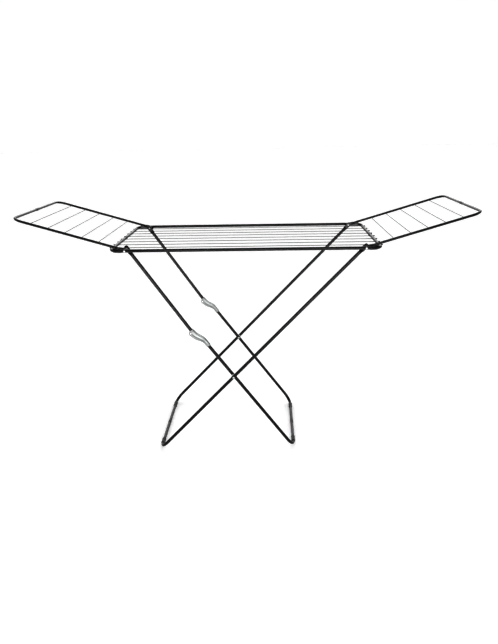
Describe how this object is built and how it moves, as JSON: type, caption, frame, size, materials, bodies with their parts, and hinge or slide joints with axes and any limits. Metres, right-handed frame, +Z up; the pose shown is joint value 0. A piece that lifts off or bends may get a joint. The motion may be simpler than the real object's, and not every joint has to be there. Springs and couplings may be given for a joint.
{
  "type": "folding clothes drying rack",
  "caption": "Winged clothes airer: wired tubular centre frame, two fold-over wings and crossed U legs with a knee that folds flat.",
  "frame": {"origin": "on the floor, under the centre of the frame", "axes": "+X along the airer to the wing above the straight leg's top, +Y across it to the rear, +Z up"},
  "size_m": [1.7452, 0.5372, 1.0088],
  "materials": {
    "black_enamel": "gloss black powder coat",
    "black_wire": "satin black coated wire",
    "black_plastic": "fine-grained black moulding",
    "black_nylon": "smooth black nylon",
    "grey_nylon": "smooth light grey nylon",
    "zinc_sheet": "bright zinc plated pressed sheet",
    "bright_rivet": "bright domed steel"
  },
  "bodies": {
    "frame": {"centre_wire_1": "black_wire", "centre_wire_2": "black_wire", "centre_wire_3": "black_wire", "centre_wire_4": "black_wire", "centre_wire_5": "black_wire", "centre_wire_6": "black_wire", "centre_wire_7": "black_wire", "centre_wire_8": "black_wire", "front_frame_tube": "black_enamel", "left_frame_coupler": "black_enamel", "pivot_pin_front_left": "bright_rivet", "pivot_pin_front_right": "bright_rivet", "pivot_pin_rear_left": "bright_rivet", "pivot_pin_rear_right": "bright_rivet", "pivot_spacers": "black_nylon", "rear_frame_tube": "black_enamel", "right_frame_coupler": "black_enamel", "wing_rest_front_left": "black_plastic", "wing_rest_front_right": "black_plastic", "wing_rest_rear_left": "black_plastic", "wing_rest_rear_right": "black_plastic"},
    "left_wing": {"left_wing_coupler": "black_enamel", "left_wing_front_tube": "black_enamel", "left_wing_rear_tube": "black_enamel", "left_wing_wire_1": "black_wire", "left_wing_wire_2": "black_wire", "left_wing_wire_3": "black_wire", "left_wing_wire_4": "black_wire", "left_wing_wire_5": "black_wire"},
    "right_wing": {"right_wing_coupler": "black_enamel", "right_wing_front_tube": "black_enamel", "right_wing_rear_tube": "black_enamel", "right_wing_wire_1": "black_wire", "right_wing_wire_2": "black_wire", "right_wing_wire_3": "black_wire", "right_wing_wire_4": "black_wire", "right_wing_wire_5": "black_wire"},
    "outer_leg": {"crossing_rivets": "bright_rivet", "crossing_spacers": "grey_nylon", "outer_leg_coupler": "black_enamel", "outer_leg_front_foot": "black_plastic", "outer_leg_front_tube": "black_enamel", "outer_leg_rear_foot": "black_plastic", "outer_leg_rear_tube": "black_enamel"},
    "inner_leg_upper": {"inner_leg_upper_front_tube": "black_enamel", "inner_leg_upper_rear_tube": "black_enamel", "knee_bracket_front": "zinc_sheet", "knee_bracket_rear": "zinc_sheet"},
    "inner_leg_lower": {"crossing_caps": "bright_rivet", "inner_leg_coupler": "black_enamel", "inner_leg_front_foot": "black_plastic", "inner_leg_lower_front_tube": "black_enamel", "inner_leg_lower_rear_tube": "black_enamel", "inner_leg_rear_foot": "black_plastic", "knee_pins": "bright_rivet", "knee_yoke_front": "zinc_sheet", "knee_yoke_rear": "zinc_sheet"}
  },
  "joints": [
    {"name": "left_wing_fold", "type": "hinge", "parent": "frame", "child": "left_wing", "pos_m": [-0.451, 0, 0.88], "axis": [0, 1, 0], "range_deg": [0, 160.4]},
    {"name": "right_wing_fold", "type": "hinge", "parent": "frame", "child": "right_wing", "pos_m": [0.451, 0, 0.88], "axis": [0, -1, 0], "range_deg": [0, 160.4]},
    {"name": "leg_fold", "type": "hinge", "parent": "frame", "child": "outer_leg", "pos_m": [0.451, 0, 0.88], "axis": [0, 1, 0], "range_deg": [0, 42.76]},
    {"name": "inner_leg_fold", "type": "hinge", "parent": "frame", "child": "inner_leg_upper", "pos_m": [-0.451, 0, 0.88], "axis": [0, -1, 0], "range_deg": [0, 54.52]},
    {"name": "knee_fold", "type": "hinge", "parent": "inner_leg_upper", "child": "inner_leg_lower", "pos_m": [-0.22596, 0, 0.53156], "axis": [0, 1, 0], "range_deg": [0, 180.38]}
  ],
  "couplings": [
    {"joint": "inner_leg_fold", "follows": "leg_fold", "ratio": 1.275},
    {"joint": "knee_fold", "follows": "leg_fold", "ratio": 4.2181}
  ]
}
